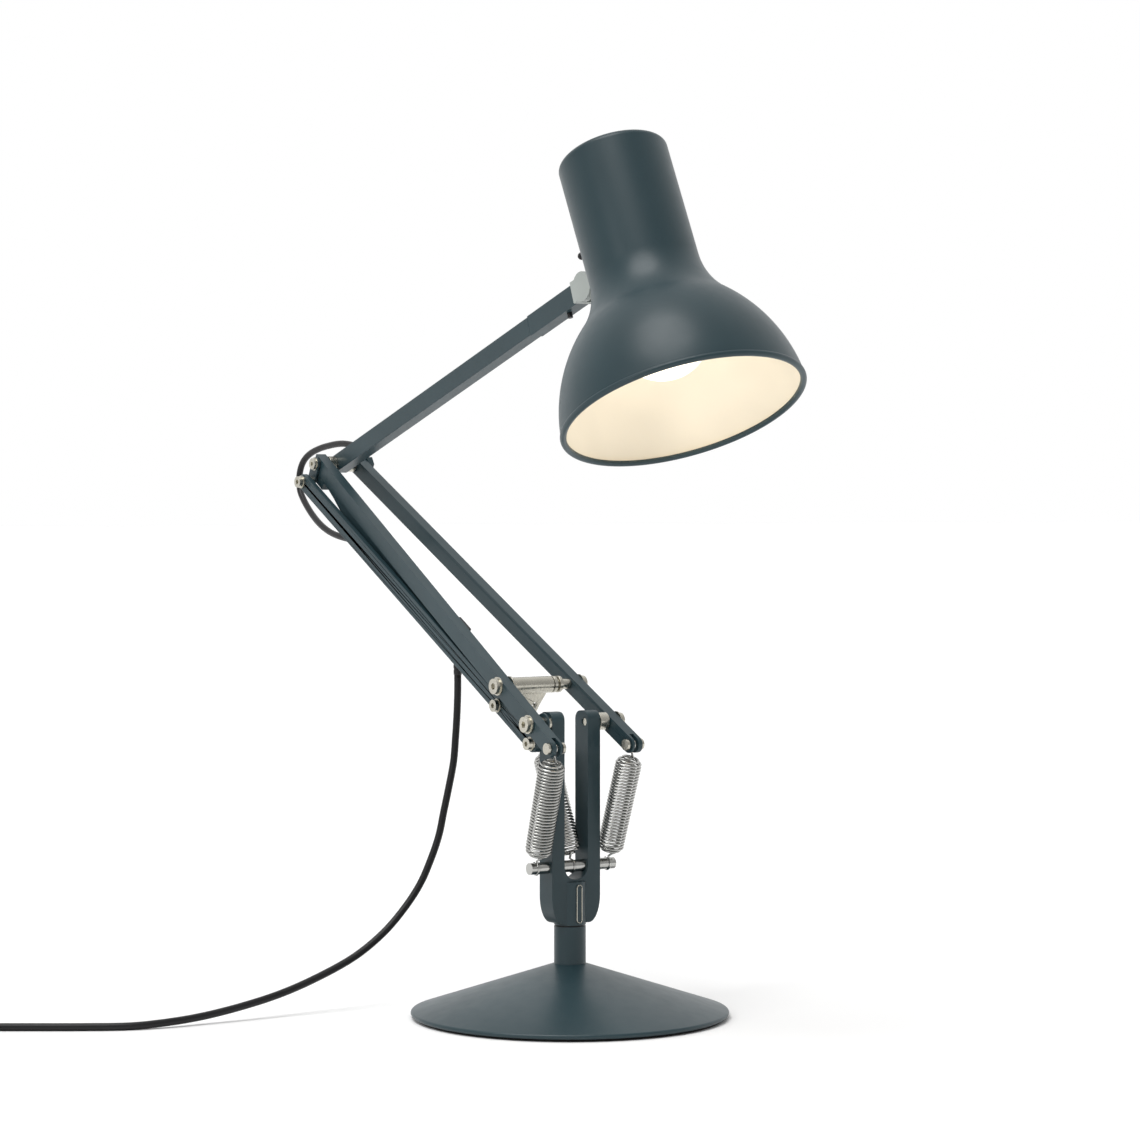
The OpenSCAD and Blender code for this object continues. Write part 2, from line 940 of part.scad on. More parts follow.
module knuckle_fork() {
    stem_r2 = swivel_r - 0.2;
    color(die_cast)
        at_upper_arm()
            difference() {
                union() {
                    difference() {
                        translate([swivel_x0, 0, 0])
                            rotate([0, 90, 0])
                                cylinder(r = stem_r2, h = end_x1 - swivel_x0 + 1);
                        translate([grub_x - 1.6, 0, 0])
                            rotate([0, 90, 0])
                                difference() {
                                    cylinder(r = 5, h = 3.2);
                                    cylinder(r = 2.1, h = 3.2);
                                }
                    }
                    translate([end_x1 + 0.3, -knuckle_half, -5.2])
                        cube([upper_len - end_x1 - 0.3, 2 * knuckle_half, 10.4]);
                    translate([upper_len, 0, 0])
                        y_rod(knuckle_r, -knuckle_half, knuckle_half);
                }
                translate([end_x1 + 2.4, -tongue_half - gap, -20])
                    cube([40, 2 * (tongue_half + gap), 40]);
                translate([upper_len, 0, 0])
                    y_rod(tilt_r, -tilt_end, 20);
            }
}

// Pivot screw of the shade: its head is on the far side and it ends inside the near cheek
module tilt_bolt() {
    color(nickel)
        translate([knuckle_x, 0, knuckle_z])
            mirror([0, 1, 0])
                near_screw(3.4, 1.8, 3.4, 0.2, tilt_r, -knuckle_half - 2, tilt_end);
}

// Tongue and saddle plate that carry the shade
module shade_bracket() {
    plate_t = 3;
    saddle_half = 8.5;
    tongue_h = 8;
    web_half = 4.6;
    back = -pivot_back;
    color(die_cast)
        at_shade()
            difference() {
                union() {
                    translate([back, 0, pivot_t])
                        y_rod(tongue_r, -tongue_half, tongue_half);
                    translate([back, -tongue_half, pivot_t - web_half])
                        cube([pivot_back - neck_r + 4, 2 * tongue_half, 2 * web_half]);
                    intersection() {
                        translate([-neck_r - plate_t, -saddle_half, fillet_t])
                            cube([plate_t + 6, 2 * saddle_half, pivot_t + tongue_h - fillet_t]);
                        translate([0, 0, pivot_t - 20])
                            cylinder(r = neck_r + plate_t, h = 40);
                    }
                }
                translate([0, 0, pivot_t - 30])
                    cylinder(r = neck_r, h = 60);
                translate([back, 0, pivot_t])
                    y_rod(tilt_r + run, -20, 20);
                bracket_holes(20);
            }
}

// Holes for the two saddle screws, one each side of the tongue
module bracket_holes(h) {
    for (k = [-1, 1])
        rotate([0, 0, saddle_turn * k])
            translate([-40, 0, pivot_t])
                rotate([0, 90, 0])
                    cylinder(r = 1.5, h = h);
}

// Two screws from inside the neck into the saddle plate
module bracket_screws() {
    head_x = neck_r - shade_wall;
    color(steel)
        at_shade()
            for (k = [-1, 1])
                translate([0, 0, pivot_t])
                    rotate([0, -90, -saddle_turn * k]) {
                        translate([0, 0, head_x - 2])
                            cylinder(r = 2.6, h = 1.8);
                        translate([0, 0, head_x - 1])
                            cylinder(r = 1.5, h = 3.6);
                    }
}

// Profile of the shade from the mouth up, set in from its outside: a convex arc runs into a concave one
function shade_profile(inset) =
    let (bell = bell_r - inset)
    concat(
        arc(bell_cr, bell_ct, bell, asin(-bell_ct / bell), meet_a, 14),
        arc(fillet_x, fillet_t, fillet_r + inset, 177 + meet_a, 180, 8)
    );

module shade() {
    top_round = 3;
    outer = concat(
        shade_profile(0),
        [[neck_r, shade_h - top_round]],
        arc(neck_r - top_round, shade_h - top_round, top_round, 20, 90, 5)
    );
    inner_top = shade_h - shade_wall;
    inner = shade_profile(shade_wall);
    hole_r = 5;
    lip = 1.5;
    color(slate)
        at_shade()
            difference() {
                rotate_extrude()
                    union() {
                        difference() {
                            polygon(concat([[0, 0]], outer, [[0, shade_h]]));
                            polygon(concat(
                                [[0, -1], [inner[0][0], -1]], inner,
                                [[neck_r - shade_wall, inner_top - 2], [neck_r - shade_wall - 2, inner_top],
                                [0, inner_top]]
                            ));
                        }
                        translate([mouth_r - 1.1, 0.7])
                            circle(r = lip, $fn = 24);
                    }
                translate([0, 0, shade_h - 5])
                    cylinder(r = hole_r, h = 10);
                bracket_holes(30);
                translate([-40, 0, switch_t])
                    rotate([0, 90, 0])
                        cylinder(r = 3, h = 30);
            }
}

// Threaded cap nut on the shade's crown that holds the lamp holder's stem
module shade_cap() {
    color(slate)
        at_shade()
            translate([0, 0, shade_h])
                difference() {
                    cylinder(r = 8, h = 2.4);
                    translate([0, 0, -1])
                        cylinder(r = 5, h = 2.4);
                }
}

module lamp_holder() {
    color(white)
        at_shade()
            difference() {
                union() {
                    translate([0, 0, holder_t0])
                        cylinder(r = holder_r, h = holder_t1 - holder_t0);
                    translate([0, 0, holder_t1 - eps])
                        cylinder(r = 5, h = shade_h + 1.4 - holder_t1);
                }
                translate([0, 0, holder_t0 - 1])
                    cylinder(r = 7.4, h = 30);
            }
}

module bulb() {
    neck = 6.6;
    meet = sqrt(bulb_r * bulb_r - 12 * 12);
    color([1, 0.97, 0.85])
        at_shade() {
            translate([0, 0, bulb_t])
                sphere(r = bulb_r);
            translate([0, 0, bulb_t + meet - 1])
                cylinder(r1 = 12.6, r2 = neck, h = 16);
            translate([0, 0, bulb_t + meet + 15 - eps])
                cylinder(r = neck, h = bulb_cap_t - bulb_t - meet - 15);
        }
}

module bulb_base() {
    cap_len = 22;
    color(steel)
        at_shade()
            translate([0, 0, bulb_cap_t]) {
                cylinder(r = 6.9, h = cap_len);
                translate([0, 0, cap_len - eps])
                    cylinder(r = 3, h = 2);
            }
}

module switch_body() {
    color(black)
        at_shade()
            translate([0, 0, switch_t])
                rotate([0, -90, 0])
                    difference() {
                        union() {
                            translate([0, 0, neck_r - 8])
                                cylinder(r = 4.4, h = 6.4);
                            translate([0, 0, neck_r - 2])
                                cylinder(r = 3, h = 5.5);
                        }
                        translate([0, 0, neck_r])
                            cylinder(r = 2.2, h = 10);
                    }
}

module switch_toggle() {
    color(black)
        at_shade()
            translate([0, 0, switch_t])
                translate([-neck_r - 1.7, 0, 0])
                    rotate([0, -90 + 12, 0]) {
                        sphere(r = 1.4);
                        cylinder(r = 1.1, h = toggle_len);
                        translate([0, 0, toggle_len])
                            sphere(r = 1.8);
                    }
}

// ---- Leads ----

module elbow_cable() {
    color(black)
        sweep(loop_route, loop_r, 8);
}

// Clip inside the near plate that holds the lead at the end of its loop
module cable_clip() {
    clip_s = 145.9;
    color(black)
        at_lower_arm()
            translate([clip_s, -arm_in(clip_s) + 0.4, 5.9])
                cube([8, 4, 3.6]);
}

// Gland block on the inside of the near plate that grips the top of the strain relief
module lead_gland() {
    gland_s = 85;
    color(black)
        difference() {
            at_lower_arm()
                translate([gland_s, -arm_in(gland_s) + 0.55, 1.2])
                    cube([11, 6.4, 6.2]);
            translate([relief_x, relief_y, relief_z])
                cylinder(r = relief_r, h = relief_top_z - relief_z);
            translate([relief_x, relief_y, relief_top_z - eps])
                cylinder(r = cord_r, h = 40);
        }
}

// Tapered sleeve where the mains lead leaves the channel
module strain_relief() {
    color(black)
        translate([relief_x, relief_y, relief_z]) {
            cylinder(r1 = 1.95, r2 = relief_r, h = relief_top_z - relief_z);
            translate([0, 0, relief_top_z - relief_z - eps])
                cylinder(r = cord_r, h = 3);
        }
}

module cord() {
    color(black)
        sweep(cord_route, cord_r, 8);
}

// The rest of the lead, wound in a flat coil
module cord_coil() {
    color(black)
        translate([coil_x, coil_y, 0])
            rotate_extrude()
                translate([coil_in_r, 0])
                    square([coil_out_r - coil_in_r, coil_h]);
}

// From the top of the coil down to the plug
module cord_tail() {
    color(black)
        sweep(tail_route, cord_r, 8);
}

// Strap round the coil on the side away from its centre
module cord_tie() {
    tie_w = 5;
    tie_t = 0.8;
    wide = coil_out_r - coil_in_r;
    color([0.12, 0.12, 0.12])
        translate([coil_x + coil_in_r, coil_y - tie_w / 2, 0])
            difference() {
                translate([-tie_t, 0, 0])
                    cube([wide + 2 * tie_t, tie_w, coil_h + tie_t]);
                translate([0, -1, tie_t])
                    cube([wide, tie_w + 2, coil_h - tie_t]);
            }
}

// The plug's own Z points along its pins, and its X lies across them
module at_plug() {
    translate([plug_x, tail_y, plug_r])
        rotate([0, 90, 0])
            rotate([0, 0, 90])
                children();
}

// Flat two-pin plug lying beside the coil
module plug_body() {
    grip_len = 10;
    cone_len = 14;
    color(black)
        at_plug() {
            linear_extrude(height = plug_len)
                slab([-plug_half, 0], [plug_half, 0], plug_r);
            translate([0, 0, -grip_len])
                linear_extrude(height = grip_len + eps)
                    slab([-5, 0], [5, 0], plug_r - 0.5);
            translate([0, 0, -grip_len - cone_len])
                cylinder(r1 = 2.2, r2 = 3.2, h = cone_len + eps);
        }
}

module plug_pins() {
    pin_spacing = 18.6;
    pin_r = 2;
    pin_len = 18;
    color(nickel)
        at_plug()
            for (x = [-pin_spacing / 2, pin_spacing / 2])
                translate([x, 0, plug_len - eps])
                    cylinder(r = pin_r, h = pin_len);
}

base_cover();
base_weight();
base_pad();
base_bolt();
post();
post_bush();
fork();
fork_badge();
stem_clip();
anchor_bar();
pivot_bolts();
pivot_spacers();
near_arm();
cable_cover();
far_arm();
cross_tube();
cross_bolts();
tube_collars();
tail_pins();
counter_crank();
counter_screw();
guide_crank();
guide_screw();
tie_bar();
spring_near();
spring_far();
spring_middle();
pull_hook();
elbow_bolt();
elbow_nut();
elbow_spacers();
elbow_lever();
lever_screw();
upper_arm();
arm_end();
grub_screw();
knuckle_fork();
tilt_bolt();
shade_bracket();
bracket_screws();
shade();
shade_cap();
lamp_holder();
bulb();
bulb_base();
switch_body();
switch_toggle();
elbow_cable();
cable_clip();
lead_gland();
strain_relief();
cord();
cord_coil();
cord_tail();
cord_tie();
plug_body();
plug_pins();
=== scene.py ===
"""The looks of the spring-balanced desk lamp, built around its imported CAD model.

The scene is in metres, +X runs towards the shade and +Z is up. Sizes are given in millimetres and scaled by MM.
"""

import json
import math

import bmesh
import bpy
import numpy as np
from mathutils import Matrix, Vector


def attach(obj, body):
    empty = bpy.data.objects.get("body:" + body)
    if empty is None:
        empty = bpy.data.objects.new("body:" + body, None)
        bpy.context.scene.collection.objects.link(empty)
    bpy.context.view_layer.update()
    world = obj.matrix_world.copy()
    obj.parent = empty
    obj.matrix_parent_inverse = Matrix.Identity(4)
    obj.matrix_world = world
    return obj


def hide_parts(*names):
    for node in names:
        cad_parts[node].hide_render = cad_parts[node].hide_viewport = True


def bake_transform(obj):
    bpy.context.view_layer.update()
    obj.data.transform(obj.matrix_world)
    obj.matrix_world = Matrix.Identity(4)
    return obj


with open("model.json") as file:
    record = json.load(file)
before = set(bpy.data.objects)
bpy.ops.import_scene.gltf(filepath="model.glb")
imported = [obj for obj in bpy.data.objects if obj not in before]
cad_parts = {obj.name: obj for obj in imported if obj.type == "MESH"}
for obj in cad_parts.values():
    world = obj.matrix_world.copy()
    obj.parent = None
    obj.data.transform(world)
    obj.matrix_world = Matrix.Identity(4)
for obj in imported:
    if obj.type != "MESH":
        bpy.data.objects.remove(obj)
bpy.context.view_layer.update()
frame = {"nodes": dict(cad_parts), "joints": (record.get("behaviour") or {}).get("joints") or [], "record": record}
nodes = frame["nodes"]
joints = {j["name"]: j for j in frame["joints"]}

MM = 0.001
P0 = Vector(joints["lower_arm_hinge"]["pos_m"])
KNUCKLE = Vector(joints["shade_tilt"]["pos_m"])
CROSS = Vector(joints["counter_crank_hinge"]["pos_m"])
EYE = Vector(joints["tie_bar_hinge"]["pos_m"])
WORLD_Y = Vector((0, 1, 0))


def mm(x, y, z):
    """A point given in millimetres."""
    return Vector((x, y, z)) * MM


def arc(across, up, radius, degrees):
    """Points of an arc about (across, up) at the listed angles."""
    turns = [math.radians(a) for a in degrees]
    return [(across + radius * math.cos(a), up + radius * math.sin(a)) for a in turns]


# ---- Camera, light and floor ----

# The photo's view: from in front of the shade and to its near side, about half-way up the lamp
CAMERA_PLACE = (1.2451, -0.8718, 0.2412)
CAMERA_LENS = 102.14
CAMERA_DIP = math.radians(1.16)
CAMERA_HEADING = math.radians(55)
# The key light is aimed here
MIDDLE = (-0.05, 0, 0.22)


def make_camera():
    data = bpy.data.cameras.new("camera")
    data.sensor_width = 36
    data.lens = CAMERA_LENS
    camera = bpy.data.objects.new("camera", data)
    bpy.context.scene.collection.objects.link(camera)
    camera.location = CAMERA_PLACE
    camera.rotation_euler = (math.radians(90) - CAMERA_DIP, 0, CAMERA_HEADING)
    bpy.context.scene.camera = camera


def add_light(name, kind, place, aim, **values):
    """A light at place whose beam runs along aim."""
    data = bpy.data.lights.new(name, kind)
    for key, value in values.items():
        setattr(data, key, value)
    light = bpy.data.objects.new(name, data)
    bpy.context.scene.collection.objects.link(light)
    light.location = place
    light.rotation_euler = aim.to_track_quat("-Z", "Y").to_euler()
    return light


def make_world(scene):
    """White behind the lamp and grey on the camera's side, so that the metal has something dark to reflect."""
    behind = (-0.819, 0.574, 0.0)
    grey, white = 0.42, 1.0
    world = bpy.data.worlds.new("studio")
    scene.world = world
    world.use_nodes = True
    tree = world.node_tree
    background = tree.nodes["Background"]
    background.inputs["Color"].default_value = (1, 1, 1, 1)
    facing = tree.nodes.new("ShaderNodeVectorMath")
    facing.operation = "DOT_PRODUCT"
    facing.inputs[1].default_value = behind
    tree.links.new(tree.nodes.new("ShaderNodeTexCoord").outputs["Generated"], facing.inputs[0])
    level = tree.nodes.new("ShaderNodeMapRange")
    level.interpolation_type = "SMOOTHSTEP"
    level.inputs["From Min"].default_value = -0.5
    level.inputs["From Max"].default_value = 0.75
    level.inputs["To Min"].default_value = grey
    level.inputs["To Max"].default_value = white
    tree.links.new(facing.outputs["Value"], level.inputs["Value"])
    tree.links.new(level.outputs["Result"], background.inputs["Strength"])


def make_stage():
    scene = bpy.context.scene
    scene.view_settings.view_transform = "Standard"
    make_world(scene)
    bpy.ops.mesh.primitive_plane_add(size=60)
    floor = bpy.context.object
    floor.name = "floor"
    floor.data.materials.append(floor_material())
    sun_from = Vector((0.1, -0.5, 1.3))
    key_place = Vector((0.25, -1.7, 0.9))
    add_light("sun", "SUN", (0, 0, 0), -sun_from, energy=1.9, angle=math.radians(40))
    add_light("key", "AREA", key_place, Vector(MIDDLE) - key_place, shape="DISK", size=0.35, energy=3.5)


# ---- Materials ----


class Shader:
    """A Principled material whose nodes are added by name."""

    def __init__(self, name):
        self.material = bpy.data.materials.new(name)
        self.material.use_nodes = True
        self.tree = self.material.node_tree
        self.surface = self.tree.nodes["Principled BSDF"]

    def add(self, kind, **values):
        made = self.tree.nodes.new(kind)
        for key, value in values.items():
            setattr(made, key, value)
        return made

    def link(self, source, target):
        self.tree.links.new(source, target)

    def coords(self):
        return self.add("ShaderNodeTexCoord").outputs["Object"]

    def noise(self, scale, detail=3, roughness=0.5, vector=None):
        made = self.add("ShaderNodeTexNoise")
        made.inputs["Scale"].default_value = scale
        made.inputs["Detail"].default_value = detail
        made.inputs["Roughness"].default_value = roughness
        self.link(vector or self.coords(), made.inputs["Vector"])
        return made.outputs["Fac"]

    def ramp(self, factor, low, high):
        made = self.add("ShaderNodeValToRGB")
        for end, position, colour in zip(made.color_ramp.elements, (0.3, 0.7), (low, high)):
            end.position = position
            end.color = (*colour, 1)
        self.link(factor, made.inputs["Fac"])
        return made.outputs["Color"]

    def span(self, factor, low, high):
        made = self.add("ShaderNodeMapRange")
        made.inputs["To Min"].default_value = low
        made.inputs["To Max"].default_value = high
        self.link(factor, made.inputs["Value"])
        return made.outputs["Result"]

    def colour(self, factor, low, high):
        self.link(self.ramp(factor, low, high), self.surface.inputs["Base Color"])

    def roughness(self, factor, low, high):
        self.link(self.span(factor, low, high), self.surface.inputs["Roughness"])

    def bump(self, height, strength, distance):
        made = self.add("ShaderNodeBump")
        made.inputs["Strength"].default_value = strength
        made.inputs["Distance"].default_value = distance
        self.link(height, made.inputs["Height"])
        self.link(made.outputs["Normal"], self.surface.inputs["Normal"])

    def set(self, **values):
        for key, value in values.items():
            self.surface.inputs[key.replace("_", " ")].default_value = value


def srgb(r, g, b):
    """Linear values of an 8-bit display colour."""
    return tuple(c / 12.92 if c <= 0.04045 else ((c + 0.055) / 1.055) ** 2.4 for c in (r / 255, g / 255, b / 255))


def tone(colour, factor):
    return tuple(c * factor for c in colour)


def floor_material():
    s = Shader("floor_white")
    s.colour(s.noise(3), (0.9, 0.9, 0.9), (0.91, 0.91, 0.91))
    s.set(Roughness=0.8)
    return s.material


def paint(name, colour, roughness=0.4, coat=0.06):
    """Sprayed enamel: a faint orange peel, and a tone that drifts a little across the surface."""
    s = Shader(name)
    s.colour(s.noise(18, 2), tone(colour, 0.9), tone(colour, 1.08))
    s.roughness(s.noise(160, 3), roughness - 0.05, roughness + 0.06)
    s.bump(s.noise(900, 2), 0.06, 0.0002)
    s.set(Coat_Weight=coat, Coat_Roughness=0.22, Specular_IOR_Level=0.4)
    return s.material


def metal(name, colour, roughness, scale=(900, 900, 60)):
    """Turned or drawn metal with fine lines and patchy polish."""
    s = Shader(name)
    mapping = s.add("ShaderNodeMapping")
    mapping.inputs["Scale"].default_value = scale
    s.link(s.coords(), mapping.inputs["Vector"])
    lines = s.noise(1, 2, vector=mapping.outputs["Vector"])
    s.colour(s.noise(70), tone(colour, 0.85), colour)
    s.roughness(lines, roughness - 0.06, roughness + 0.1)
    s.bump(lines, 0.08, 0.0001)
    s.set(Metallic=1.0)
    return s.material


def moulded(name, colour, roughness, grain=1500, sheen=0.0):
    """Moulded plastic or rubber with a fine texture."""
    s = Shader(name)
    s.colour(s.noise(40), tone(colour, 0.8), tone(colour, 1.2))
    s.roughness(s.noise(300), roughness - 0.07, roughness + 0.07)
    s.bump(s.noise(grain, 2), 0.12, 0.0001)
    s.set(Sheen_Weight=sheen, Specular_IOR_Level=0.3)
    return s.material


def cast(name, colour):
    """Rough sand-cast iron."""
    s = Shader(name)
    s.colour(s.noise(120), tone(colour, 0.75), colour)
    s.roughness(s.noise(400), 0.6, 0.85)
    s.bump(s.noise(700, 4, 0.7), 0.5, 0.0003)
    s.set(Metallic=0.4)
    return s.material


def lit_glass(name):
    """Opal bulb glass with the lamp on."""
    s = Shader(name)
    s.colour(s.noise(25), (0.95, 0.9, 0.8), (1, 0.97, 0.9))
    s.roughness(s.noise(90), 0.12, 0.2)
    s.set(Emission_Color=(1, 0.86, 0.66, 1), Emission_Strength=1.6, Coat_Weight=0.3)
    return s.material


def make_materials():
    return {
        "slate_paint": paint("slate_paint", srgb(35, 56, 62)),
        # The lining's enamel is white; its cream tint is painted warm light from the lit bulb
        "white_inside": paint("white_inside", (0.80, 0.76, 0.67), 0.5, 0.1),
        "nickel": metal("nickel", (0.56, 0.54, 0.47), 0.24),
        "spring_steel": metal("spring_steel", (0.50, 0.50, 0.48), 0.18, (300, 300, 40)),
        "die_cast": paint("die_cast", srgb(166, 172, 168), 0.42, 0.1),
        "iron": cast("iron", (0.10, 0.10, 0.105)),
        "black_plastic": moulded("black_plastic", (0.014, 0.014, 0.015), 0.42),
        "nylon": moulded("nylon", (0.02, 0.02, 0.02), 0.5),
        "pad_rubber": moulded("pad_rubber", (0.012, 0.012, 0.012), 0.85, 600, 0.2),
        "cord_pvc": moulded("cord_pvc", (0.009, 0.009, 0.01), 0.4, 2500),
        "holder_white": moulded("holder_white", (0.80, 0.79, 0.74), 0.4),
        "bulb_glass": lit_glass("bulb_glass"),
        "cap_metal": metal("cap_metal", (0.72, 0.72, 0.70), 0.3),
    }


# ---- Mesh helpers ----


def new_mesh(name, vertices, faces, material, body=None, is_smooth=True):
    """A new piece of the lamp, in the named material."""
    data = bpy.data.meshes.new(name)
    data.from_pydata([tuple(v) for v in vertices], [], faces)
    data.validate()
    bm = bmesh.new()
    bm.from_mesh(data)
    bmesh.ops.recalc_face_normals(bm, faces=bm.faces)
    bm.to_mesh(data)
    bm.free()
    made = bpy.data.objects.new(name, data)
    if is_smooth:
        smooth(made)
    bpy.context.scene.collection.objects.link(made)
    data.materials.append(MATERIALS[material])
    if body:
        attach(made, body)
    return made


def smooth(obj):
    obj.data.polygons.foreach_set("use_smooth", [True] * len(obj.data.polygons))


def prism_faces(n):
    """Faces of a solid between two outlines of n points each."""
    ends = [tuple(range(n)), tuple(reversed(range(n, 2 * n)))]
    return ends + [(k, (k + 1) % n, n + (k + 1) % n, n + k) for k in range(n)]


def sharpen(obj, angle=35):
    """Smooth shading that breaks at hard edges."""
    bm = bmesh.new()
    bm.from_mesh(obj.data)
    limit = math.radians(angle)
    for edge in bm.edges:
        edge.smooth = len(edge.link_faces) == 2 and edge.calc_face_angle(0) < limit
    bm.to_mesh(obj.data)
    bm.free()


def catmull(points, each):
    """Points along a smooth curve through the given ones, each spans apart."""
    points = [Vector(p) for p in points]
    ends = [2 * points[0] - points[1]] + points + [2 * points[-1] - points[-2]]
    out = []
    for i in range(1, len(ends) - 2):
        a, b, c, d = ends[i - 1 : i + 3]
        for k in range(each):
            t = k / each
            bend = (2 * a - 5 * b + 4 * c - d) * t**2 + (3 * b - a - 3 * c + d) * t**3
            out.append(0.5 * (2 * b + (c - a) * t + bend))
    return out + [points[-1]]


def tube(name, path, radius, material, body=None, sides=12):
    """A round tube along a path."""
    path = [Vector(p) for p in path]
    n = len(path)
    vertices, faces = [], []
    normal = None
    for i, p in enumerate(path):
        ahead = (path[min(i + 1, n - 1)] - path[max(i - 1, 0)]).normalized()
        if normal is None:
            normal = ahead.orthogonal().normalized()
        normal = (normal - ahead * normal.dot(ahead)).normalized()
        across = ahead.cross(normal)
        for k in range(sides):
            a = 2 * math.pi * k / sides
            vertices.append(p + (normal * math.cos(a) + across * math.sin(a)) * radius)
    for i in range(n - 1):
        for k in range(sides):
            l = (k + 1) % sides
            faces.append((i * sides + k, i * sides + l, (i + 1) * sides + l, (i + 1) * sides + k))
    faces.append(tuple(range(sides))[::-1])
    faces.append(tuple((n - 1) * sides + k for k in range(sides)))
    return new_mesh(name, vertices, faces, material, body)


def lathe(name, profile, material, place, axis, body, steps):
    """A turned piece. profile is (radius, height) points along the axis, in millimetres."""
    turn = Vector((0, 0, 1)).rotation_difference(Vector(axis)).to_matrix()
    vertices, rings = [], []
    for r, h in profile:
        r, h = r * MM, h * MM
        if r == 0:
            rings.append([len(vertices)])
            vertices.append(Vector((0, 0, h)))
            continue
        rings.append(list(range(len(vertices), len(vertices) + steps)))
        for k in range(steps):
            a = 2 * math.pi * k / steps
            vertices.append(Vector((r * math.cos(a), r * math.sin(a), h)))
    faces = []
    for a, b in zip(rings, rings[1:]):
        if len(a) == 1 and len(b) == 1:
            continue
        for k in range(steps):
            l = (k + 1) % steps
            if len(a) == 1:
                faces.append((a[0], b[l], b[k]))
            elif len(b) == 1:
                faces.append((a[k], a[l], b[0]))
            else:
                faces.append((a[k], a[l], b[l], b[k]))
    vertices = [Vector(place) + turn @ v for v in vertices]
    made = new_mesh(name, vertices, faces, material, body)
    sharpen(made)
    return made


def bevel(obj, width, segments=2):
    """Rounds the hard edges as a coat of paint or tumbling does."""
    edges = obj.modifiers.new("edges", "BEVEL")
    edges.width = width
    edges.segments = segments
    edges.limit_method = "ANGLE"
    edges.angle_limit = math.radians(38)
    edges.harden_normals = True


# ---- Mains lead ----

CORD_D = 3.6 * MM
# Points of the hanging lead in millimetres, from the foot of the strain relief down to the floor and on towards the
# coil
CORD_ROUTE = [
    (-78.4, -12, 158), (-78.4, -12, 150), (-78.3, -12.5, 139), (-78, -13.5, 128), (-77.5, -15, 116), (-77, -18, 104),
    (-77, -21, 92), (-77, -24, 80), (-77, -29, 68), (-77, -35, 57), (-77, -44, 46), (-77, -56, 35),
    (-77, -72, 25), (-77, -92, 17), (-77, -112, 11), (-77, -132, 7), (-78, -152, 4), (-79, -170, 2.6),
    (-83, -188, 1.8), (-93, -206, 1.8), (-106, -225, 1.8), (-118, -242, 1.8), (-130, -259, 1.8), (-140, -273, 1.8),
]
# The coil is wound from the outside in, up a layer, and back out again. Lanes are radii, layers are heights,
# and angles are in degrees
COIL_CENTRE = (-120.3, -287)
COIL_LANES = (24.2, 20.5, 16.8)
COIL_LAYERS = (1.8, 5.45, 9.1, 12.75)
COIL_START = 144.6
COIL_STEP = 5
TAIL_ROUTE = [
    (-120.3, -311.2, 12.75), (-116, -311.2, 12.4), (-111.5, -311.2, 10.7), (-107.5, -311.2, 8.3), (-104, -311.2, 6),
    (-100.5, -311.2, 5), (-98.3, -311.2, 5),
]


def coil_path():
    """The wound part of the lead. Each turn keeps to one lane, then eases into the next lane or layer."""
    ease = 36  # turn over which a change of lane or layer is spread
    back = 35  # how much sooner each later change comes round
    first_hop = 150
    leaving = 185.4
    lane, layer = 0, 0
    angle = first_hop
    events = []
    for level in range(len(COIL_LAYERS)):
        for hop in range(2):
            lane += 1 if level % 2 == 0 else -1
            events.append((angle, lane, layer))
            angle += 360 if hop == 0 else 360 - back
        if level < len(COIL_LAYERS) - 1:
            layer += 1
            events.append((angle, lane, layer))
            angle += 360 - back
    end = angle + back + leaving - 360
    out = []
    steps = int(end / COIL_STEP)
    for i in range(steps + 1):
        a = end * i / steps
        r, z = COIL_LANES[0], COIL_LAYERS[0]
        for start, to_lane, to_layer in events:
            u = min(max((a - start) / ease, 0), 1)
            u = u * u * (3 - 2 * u)
            r += (COIL_LANES[to_lane] - r) * u
            z += (COIL_LAYERS[to_layer] - z) * u
        turn = math.radians(COIL_START + a)
        out.append((COIL_CENTRE[0] + r * math.cos(turn), COIL_CENTRE[1] + r * math.sin(turn), z))
    return out


def make_cord():
    hung = catmull(CORD_ROUTE, 5)
    wound = [Vector(p) for p in coil_path()]
    tail = catmull(TAIL_ROUTE, 4)
    path = [p * MM for p in hung[:-1] + wound[:-1] + tail]
    lead = tube("mains_lead", path, CORD_D / 2, "cord_pvc", sides=12)
    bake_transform(lead)
    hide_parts("cord", "cord_coil", "cord_tail")
    plug = make_plug()


# The lead enters the plug here; the plug points along +X
PLUG_REAR = mm(-98.3, -311.2, 5)
# (distance from the rear, half width, half height) of the ribbed sleeve, the grip and the body
PLUG_SECTIONS = [
    (0, 1.95, 1.95), (0.4, 2.3, 2.3), (2.2, 2.35, 2.35), (2.4, 2.05, 2.05), (3.4, 2.05, 2.05),
    (3.6, 2.5, 2.5), (5.4, 2.6, 2.6), (5.6, 2.15, 2.15), (6.6, 2.2, 2.2), (6.8, 2.75, 2.75),
    (8.6, 2.85, 2.85), (8.8, 2.3, 2.3), (9.8, 2.4, 2.4), (10, 3, 3), (13.4, 3.2, 3.2),
    (13.8, 5, 3.8), (14.3, 8.4, 4.35), (15.2, 9.2, 4.5), (19, 9.3, 4.5), (22.6, 9.5, 4.5),
    (23.4, 11, 4.6), (24.2, 14.8, 4.8), (25, 16.4, 4.95), (26.4, 17, 5), (38.2, 17, 5),
    (39.4, 16.7, 4.8), (40, 15.8, 4.1),
]
PLUG_LENGTH = PLUG_SECTIONS[-1][0]
PIN_Y = 9.3
# A sleeved root and a bare, chamfered tip
PIN_PROFILE = [(0, -0.5), (1.9, -0.5), (1.9, 10), (2, 10.01), (2, 17), (1.4, 17.8), (0, 18)]


